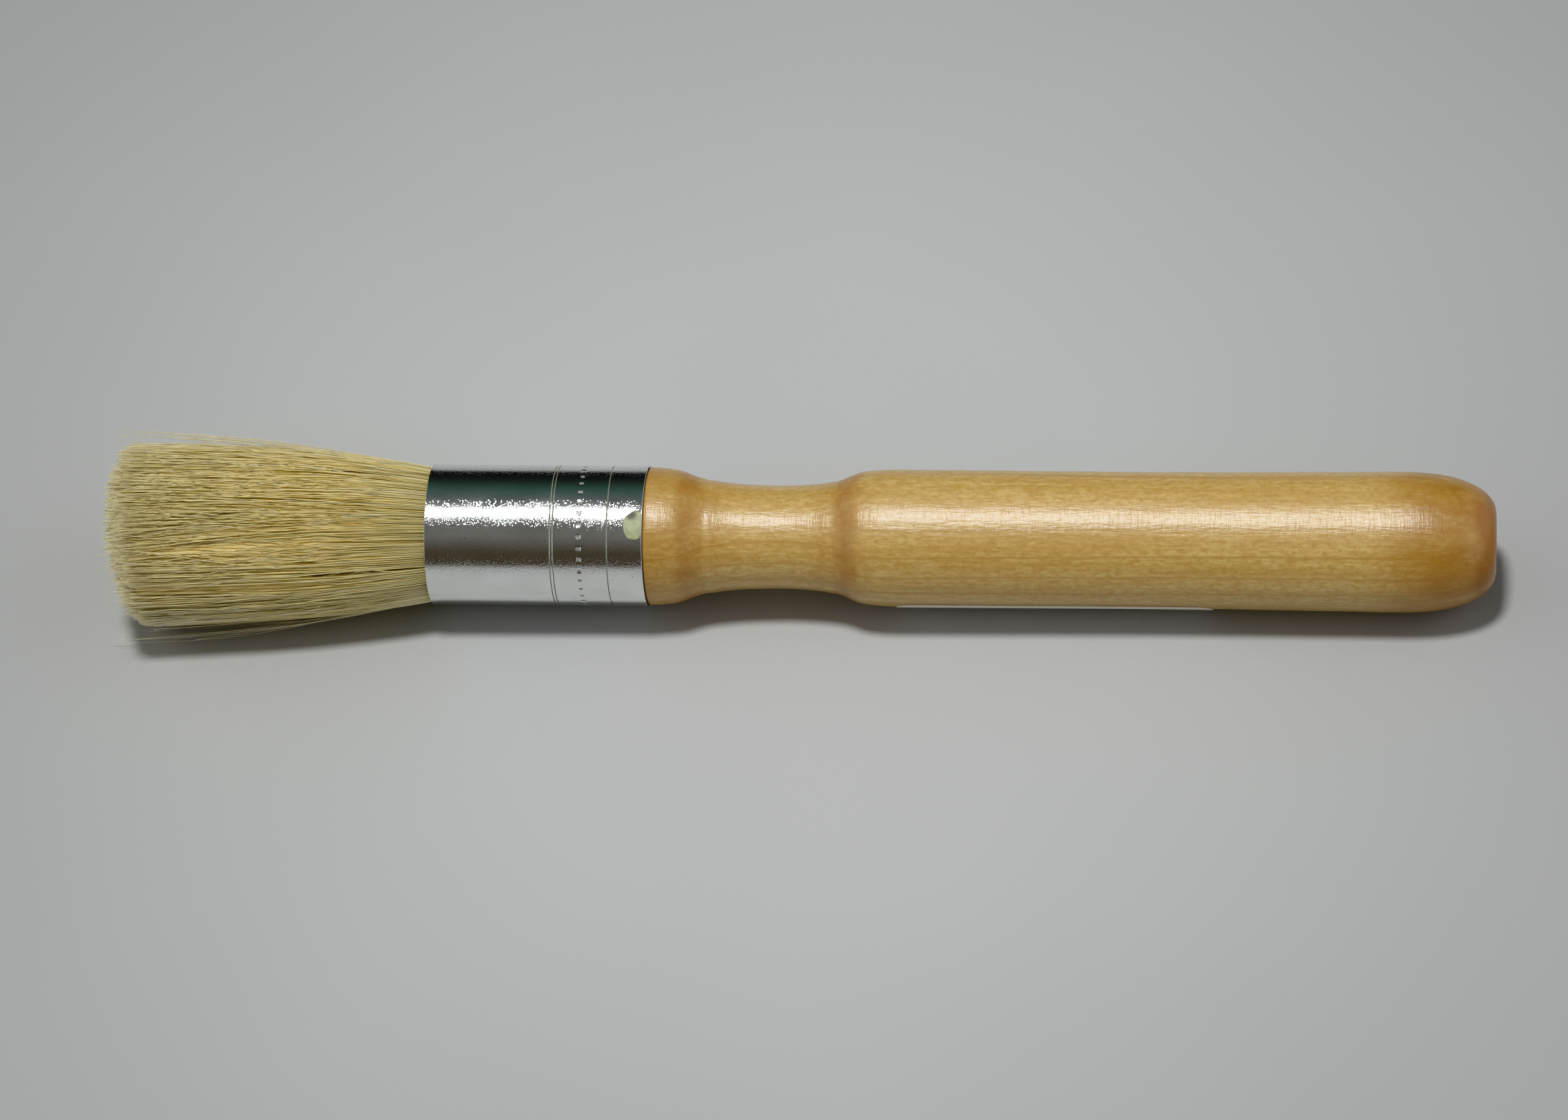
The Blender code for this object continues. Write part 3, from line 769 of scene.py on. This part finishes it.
def build_label(material):
    """Plain sticker wrapped round the underside, with rounded corners and one corner just lifting."""
    rows, columns = 60, 41
    stations, radii = cad_outline("handle")
    ease = 0.5 - 0.5 * np.cos(np.linspace(0.0, math.pi, rows))
    station = (LABEL_START + (LABEL_END - LABEL_START) * ease)[:, None]
    radius = np.interp(station, stations, radii)
    from_end = np.minimum(station - LABEL_START, LABEL_END - station)
    inset = np.clip(LABEL_CORNER - from_end, 0.0, LABEL_CORNER)
    cut = LABEL_CORNER - np.sqrt(LABEL_CORNER**2 - inset**2)
    share = np.linspace(-1.0, 1.0, columns)[None, :]
    angle = -0.5 * math.pi + (LABEL_HALF_ANGLE - cut / radius) * share
    lifting = (share < -LIFTED_SHARE) * smoothstep((LABEL_START + LIFTED_LENGTH - station) / LIFTED_LENGTH)
    sheets = []
    for height in (LABEL_CLEARANCE, LABEL_CLEARANCE + LABEL_THICKNESS):
        sheets.append(on_round(station, radius + height + LIFTED_HEIGHT * lifting, angle))
    verts = place(np.stack(sheets))
    size = rows * columns
    top = grid_faces(rows, columns, start=size)
    under = [face[::-1] for face in grid_faces(rows, columns)]
    border = list(range(columns))
    border += [r * columns + columns - 1 for r in range(1, rows)]
    border += [(rows - 1) * columns + c for c in range(columns - 2, -1, -1)]
    border += [r * columns for r in range(rows - 2, 0, -1)]
    rim = [(a, b, b + size, a + size) for a, b in zip(border, border[1:] + border[:1])]
    piece = add_mesh("plain_paper_label", verts, top + under + rim, material)
    return ride_for(piece, "handle", "paper", "paper_label")


# ---------------------------------------------------------------- bristles

def head_radius(station):
    """Radius of the bundle, which flares out from the ferrule's mouth to its tips."""
    outside = np.minimum(station, 0.0)
    return MOUTH_RADIUS + SPREAD * (1.0 - np.exp(outside / SPREAD_LENGTH))


def vogel(count, crowding):
    """Spread points on the unit disc; a crowding below a half draws them towards the rim."""
    index = np.arange(count)
    reach = ((index + 0.5) / count) ** crowding
    turn = index * math.pi * (3.0 - math.sqrt(5.0))
    return np.stack((reach * np.cos(turn), reach * np.sin(turn)), axis=1)


def gather(points, count, jitter):
    """The clump centre that each point belongs to, and the clump's number."""
    centres = vogel(count, 0.45) + rng.normal(0.0, jitter, (count, 2))
    gap = np.linalg.norm(points[:, None, :] - centres[None], axis=2)
    clump = np.argmin(gap, axis=1)
    return centres[clump], clump


def parting_reach(parting, angle, station):
    """How far round each place is from a parting, the parting's half width, and one inside its length."""
    middle, start, end, half_width = parting
    from_start = smoothstep((start * MM - station) / (2.0 * MM))
    to_end = smoothstep((station - end * MM) / (6.0 * MM))
    return wrapped(angle - math.radians(middle)), math.radians(half_width), from_start * to_end


def part_hairs(share, station):
    """Pushes hairs sideways off the partings, which leaves thin dark gaps in the outer layer."""
    reach = np.hypot(share[..., 0], share[..., 1])
    angle = np.arctan2(share[..., 1], -share[..., 0])
    for parting in PARTINGS:
        off, width, inside = parting_reach(parting, angle, station)
        outer = smoothstep((reach - 0.72) / 0.12)
        push = np.sign(off) * width * np.exp(-np.abs(off) / (2.5 * width)) * inside * outer
        angle = angle + push
    return np.stack((-reach * np.cos(angle), reach * np.sin(angle)), axis=-1)


def hair_shares(root, middle, tip, wave, travel):
    """Each hair's place across the bundle on its way from the root to the tip, as shares of the radius."""
    early = smoothstep(travel / 0.55)
    late = smoothstep((travel - 0.3) / 0.75)
    share = root[:, None, :] + (middle - root)[:, None, :] * early[..., None]
    share = share + (tip - middle)[:, None, :] * late[..., None]
    ripple = np.sin(math.tau * (wave[:, 2:3] * travel + wave[:, 3:4])) * smoothstep(travel * 2.0)
    return share + wave[:, None, 0:2] * ripple[..., None]


def hair_paths(root, middle, tip, tip_station, wave, layer):
    """Points (hair, ring, 3) in brush coordinates. root, middle and tip are shares of the head's radius."""
    dish = np.sqrt(ROOT_DISH_RADIUS**2 - np.sum(root**2, axis=1) * MOUTH_RADIUS**2)
    buried = PIVOT_STATION + dish + ROOT_CLEARANCE
    outside = tip_station[:, None] * np.array(HAIR_STEPS)
    station = np.concatenate((buried[:, None], outside), axis=1)
    travel = np.clip(station / TIP_CENTRE, 0.0, 1.1)
    share = hair_shares(root, middle, tip, wave, travel)
    share = part_hairs(share, station)
    radius = head_radius(station)
    leaning = np.maximum(travel, 0.0) ** 1.5
    side = share[..., 0] * radius * (1.0 + (WIDENING - 1.0) * np.clip(travel * 2.4, 0.0, 1.0))
    side = side - NEAR_LEAN * leaning
    up = share[..., 1] * radius
    room = floor_depth(station)
    squash = np.where(radius > room, 0.5 * (1.0 + room / radius), 1.0)
    up = np.where(up < 0.0, up * squash, up) - SAG * leaning * (0.5 + 0.5 * share[..., 1])
    resting = -room + layer[:, None] + HAIR_RADIUS
    up = np.where(station < 0.0, np.maximum(up, resting), up)
    return np.stack((station, side, up), axis=-1)


def hair_mesh(name, paths, tone, material, thickness):
    """Thin tapered tubes with closed ends along the paths."""
    count, rings = paths.shape[:2]
    ahead = np.gradient(paths, axis=1)
    ahead /= np.linalg.norm(ahead, axis=2, keepdims=True)
    across = np.cross(ahead, NEVER_ALONG)
    across /= np.linalg.norm(across, axis=2, keepdims=True)
    beside = np.cross(ahead, across)
    along = np.linspace(0.0, 1.0, rings)
    radius = HAIR_RADIUS + (HAIR_TIP_RADIUS - HAIR_RADIUS) * along**2
    radius = radius[None, :] * thickness[:, None]
    turn = np.arange(HAIR_SIDES) * math.tau / HAIR_SIDES
    ring = across[:, :, None, :] * np.cos(turn)[:, None] + beside[:, :, None, :] * np.sin(turn)[:, None]
    verts = paths[:, :, None, :] + ring * radius[:, :, None, None]
    step = rings * HAIR_SIDES
    one = np.array(grid_faces(rings, HAIR_SIDES, wrap_columns=True))
    faces = (one[None] + (np.arange(count) * step)[:, None, None]).reshape(-1, 4).tolist()
    for start in range(0, count * step, step):
        faces.append(tuple(start + i for i in range(HAIR_SIDES))[::-1])
        faces.append(tuple(start + step - HAIR_SIDES + i for i in range(HAIR_SIDES)))
    piece = add_mesh(name, place(verts), faces, material)
    add_attribute(piece, "tone", np.repeat(tone, step))
    add_attribute(piece, "along", np.tile(np.repeat(along, HAIR_SIDES), count))
    add_vectors(piece, "strand", verts)
    return piece


def bend_at_mouth(piece):
    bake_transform(piece)


def lock_names(root):
    """The CAD lock in whose share of the bundle each hair stands."""
    reach = np.hypot(root[:, 0], root[:, 1])
    turn = np.arctan2(root[:, 1], root[:, 0]) + 0.5 * math.pi
    inner = np.mod(np.round(turn / math.tau * INNER_LOCKS), INNER_LOCKS).astype(int) + 1
    outer = np.mod(np.round(turn / math.tau * OUTER_LOCKS), OUTER_LOCKS).astype(int) + 1
    names = []
    for r, i, o in zip(reach, inner, outer):
        if r < LOCK_EDGES[0]:
            names.append("bristle_lock_centre")
        elif r < LOCK_EDGES[1]:
            names.append(f"bristle_lock_inner_{i}")
        else:
            names.append(f"bristle_lock_outer_{o}")
    return np.array(names)


def scatter(root, around, outwards):
    """Random offsets, larger round the bundle than outwards, so that its skin stays smooth."""
    out = root / np.maximum(np.linalg.norm(root, axis=1, keepdims=True), 0.05)
    beside = np.stack((-out[:, 1], out[:, 0]), axis=1)
    draws = rng.normal(0.0, 1.0, root.shape)
    return beside * draws[:, :1] * around + out * draws[:, 1:] * outwards


def waves(root, around, outwards, longest):
    """Each hair's own wave: its size both ways, its number of turns and where it starts."""
    count = len(root)
    turns = rng.uniform(0.4, longest, (count, 1))
    starts = rng.uniform(0.0, 1.0, (count, 1))
    return np.concatenate((scatter(root, around, outwards), turns, starts), axis=1)


def hair_tones(count):
    """Straw in the main, with a few brown hairs and a few pale ones."""
    tone = np.clip(rng.normal(0.52, 0.13, count), 0.18, 0.88)
    kind = rng.uniform(0.0, 1.0, count)
    tone = np.where(kind < 0.07, rng.uniform(0.0, 0.14, count), tone)
    return np.where(kind > 0.93, rng.uniform(0.9, 1.0, count), tone)


def hair_places():
    """Shares of the radius at each hair's root, middle and tip, and how far its tip falls short."""
    root = vogel(HAIR_COUNT, ROOT_CROWDING) + rng.normal(0.0, ROOT_JITTER, (HAIR_COUNT, 2))
    root *= np.minimum(1.0, 1.0 / np.linalg.norm(root, axis=1, keepdims=True))
    centres, clump = gather(root, MID_CLUMPS, 0.04)
    lean = rng.normal(0.0, MID_LEAN, (MID_CLUMPS, 2))[clump]
    middle = root + MID_PULL * (centres - root) + lean + scatter(root, *MID_SCATTER)
    centres, clump = gather(middle, TIP_CLUMPS, 0.03)
    pull = rng.uniform(0.0, TIP_PULL, TIP_CLUMPS)[clump][:, None]
    lean = lean + rng.normal(0.0, TIP_LEAN, (TIP_CLUMPS, 2))[clump]
    tip = middle + pull * (centres - middle) + lean + scatter(root, *TIP_SCATTER)
    crossing = rng.uniform(0.0, 1.0, HAIR_COUNT) < CROSSING_SHARE
    tip = tip + scatter(root, *CROSSING_SCATTER) * crossing[:, None]
    for points, limit in ((middle, 1.015), (tip, 1.02)):
        points *= np.minimum(1.0, limit / np.linalg.norm(points, axis=1, keepdims=True))
    length = rng.normal(0.0, CLUMP_UNEVENNESS, TIP_CLUMPS)[clump]
    length = length + rng.normal(0.0, HAIR_UNEVENNESS, HAIR_COUNT)
    return root, middle, tip, length


def build_bristles(material):
    """The bundle, hair by hair: hairs lean together in clumps, and a few lie across the others."""
    root, middle, tip, length = hair_places()
    off_centre = np.sum((root - TIP_DOME_CENTRE) ** 2, axis=1)
    rounding = TIP_EDGE * np.sum(root**2, axis=1) ** 4
    tip_station = TIP_CENTRE + TIP_DOME * off_centre + rounding + length
    layer = rng.uniform(0.0, LAYER_DEPTH, HAIR_COUNT)
    paths = hair_paths(root, middle, tip, tip_station, waves(root, 0.024, 0.007, 3.0), layer)
    tone = hair_tones(HAIR_COUNT)
    thickness = rng.uniform(0.8, 1.2, HAIR_COUNT)
    names = lock_names(root)
    for name in sorted(set(names)):
        own = names == name
        piece = hair_mesh(name + "_hairs", paths[own], tone[own], material, thickness[own])
        bend_at_mouth(piece)
        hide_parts(name)


def build_core(material):
    """Closed core of the bundle, where the hairs press together too tightly to be told apart."""
    turn = np.arange(CORE_COLUMNS) * math.tau / CORE_COLUMNS
    ring = CORE_SHARE * np.stack((np.cos(turn), np.sin(turn)), axis=1)
    end = np.full(CORE_COLUMNS, TIP_CENTRE + CORE_SETBACK) + rng.normal(0.0, CORE_UNEVENNESS, CORE_COLUMNS)
    still = np.zeros((CORE_COLUMNS, 4))
    rise = np.full(CORE_COLUMNS, CORE_LIFT)
    grid = hair_paths(ring, ring, ring * 0.98, end, still, rise).transpose(1, 0, 2)
    ends = np.stack((grid[0].mean(axis=0), grid[-1].mean(axis=0) - (CORE_POINT, 0.0, 0.0)))
    verts = np.concatenate((place(grid).reshape(-1, 3), place(ends)))
    piece = add_mesh("bristle_core", verts, capped_faces(len(grid), CORE_COLUMNS), material)
    angle = np.arctan2(ring[:, 1], -ring[:, 0])
    # Painted shade along each parting, stored for the core's colour.
    shade = np.zeros(grid.shape[:2])
    for parting in PARTINGS:
        off, width, inside = parting_reach(parting, angle, grid[..., 0])
        shade = np.maximum(shade, inside * bell(off, width))
    add_attribute(piece, "parting", np.concatenate((shade.ravel(), (0.0, 0.0))))
    strand = np.empty(grid.shape)
    strand[..., 0] = grid[..., 0]
    strand[..., 1:] = 12.0 * MM * ring / CORE_SHARE
    add_vectors(piece, "strand", np.concatenate((strand.reshape(-1, 3), np.zeros((2, 3)))))
    bend_at_mouth(piece)


def build_strays(material):
    """Single bristles that have sprung out of the bundle, above it, on the floor and across its face."""
    turn, out = [], []
    for count, first, last, near, far in STRAY_ARCS:
        turn.append(np.radians(rng.uniform(first, last, count)))
        out.append(rng.uniform(near, far, count))
    turn, out = np.concatenate(turn), np.concatenate(out)
    count = len(turn)
    root = np.stack((-np.cos(turn), np.sin(turn)), axis=1) * STRAY_ROOT
    drifted = turn + np.radians(rng.normal(0.0, STRAY_DRIFT, count))
    tip = np.stack((-np.cos(drifted), np.sin(drifted)), axis=1) * out[:, None]
    middle = 0.5 * (root + tip)
    tip_station = STRAY_TIP + rng.uniform(0.0, STRAY_SHORTENING, count)
    paths = hair_paths(root, middle, tip, tip_station, waves(root, 0.03, 0.02, 1.2), np.zeros(count))
    tone = rng.uniform(0.6, 1.0, count)
    piece = hair_mesh("stray_bristles", paths, tone, material, np.full(count, STRAY_THICKNESS))
    bend_at_mouth(piece)


# ---------------------------------------------------------------- stage, light and camera

def build_camera():
    az, el = CAMERA_AZIMUTH, CAMERA_ELEVATION
    back = Vector((math.sin(az) * math.cos(el), -math.cos(az) * math.cos(el), math.sin(el)))
    right = Vector((math.cos(az), math.sin(az), 0.0))
    up = back.cross(right)
    aim = Vector((0.0, 0.0, AIM_HEIGHT)) + right * AIM_RIGHT + up * AIM_UP
    rolled_right = right * math.cos(CAMERA_ROLL) + up * math.sin(CAMERA_ROLL)
    rolled_up = up * math.cos(CAMERA_ROLL) - right * math.sin(CAMERA_ROLL)
    camera = bpy.data.objects.new("camera", bpy.data.cameras.new("camera"))
    turned = Matrix((rolled_right, rolled_up, back)).transposed().to_4x4()
    camera.matrix_world = Matrix.Translation(aim + back * CAMERA_DISTANCE) @ turned
    camera.data.lens = CAMERA_LENS
    camera.data.sensor_width = 36.0
    camera.data.clip_start = 0.01
    bpy.context.scene.collection.objects.link(camera)
    bpy.context.scene.camera = camera


def build_floor():
    corners = [(x * FLOOR_HALF, y * FLOOR_HALF, 0.0) for x, y in ((-1, -1), (1, -1), (1, 1), (-1, 1))]
    floor = add_mesh("floor", corners, [(0, 1, 2, 3)], floor_material())


def build_key_light():
    """Soft round lamp high above the brush."""
    data = bpy.data.lights.new("key", "AREA")
    data.shape = "DISK"
    data.size = LAMP_SIZE
    data.energy = LAMP_POWER
    data.color = LAMP_COLOUR
    light = bpy.data.objects.new("key", data)
    light.location = LAMP_PLACE
    bpy.context.scene.collection.objects.link(light)


def build_world():
    """Dim studio: grey above the viewer, near black behind the brush, bright beyond its two ends."""
    world = bpy.data.worlds.new("studio")
    bpy.context.scene.world = world
    world.use_nodes = True
    w = Nodes(world.node_tree)
    direction = w.node("ShaderNodeSeparateXYZ")
    w.link(w.node("ShaderNodeTexCoord").outputs["Generated"], direction.inputs[0])
    towards_viewer = w.maths("MULTIPLY", direction.outputs["Y"], -1.0)
    overhead = w.maths("ARCTAN2", direction.outputs["Z"], towards_viewer)
    sky = w.ramp(w.maths("DIVIDE", overhead, math.pi), *SKY)
    endways = w.node("ShaderNodeMapRange", interpolation_type="SMOOTHSTEP")
    w.link(w.maths("ABSOLUTE", direction.outputs["X"]), endways.inputs["Value"])
    endways.inputs["From Min"].default_value = 0.35
    endways.inputs["From Max"].default_value = 0.85
    colour = w.mix(endways.outputs["Result"], sky, SKY_ENDS)
    w.link(colour, world.node_tree.nodes["Background"].inputs["Color"])


def main():
    bristle = bristle_material()
    glue = glue_material()
    build_camera()
    build_handle(wood_material())
    build_ferrule(tin_material())
    build_glue_drop(glue)
    build_label(paper_material())
    build_bristles(bristle)
    build_core(pressed_bristle_material())
    build_strays(bristle)
    for node, material in (
        ("handle_glue", glue),
        ("setting_resin", resin_material()),
        ("bristle_roots", packed_roots_material()),
    ):
        frame["nodes"][node].material_slots[0].material = material
    build_floor()
    build_key_light()
    build_world()
    bpy.context.scene.view_settings.view_transform = "Khronos PBR Neutral"


main()
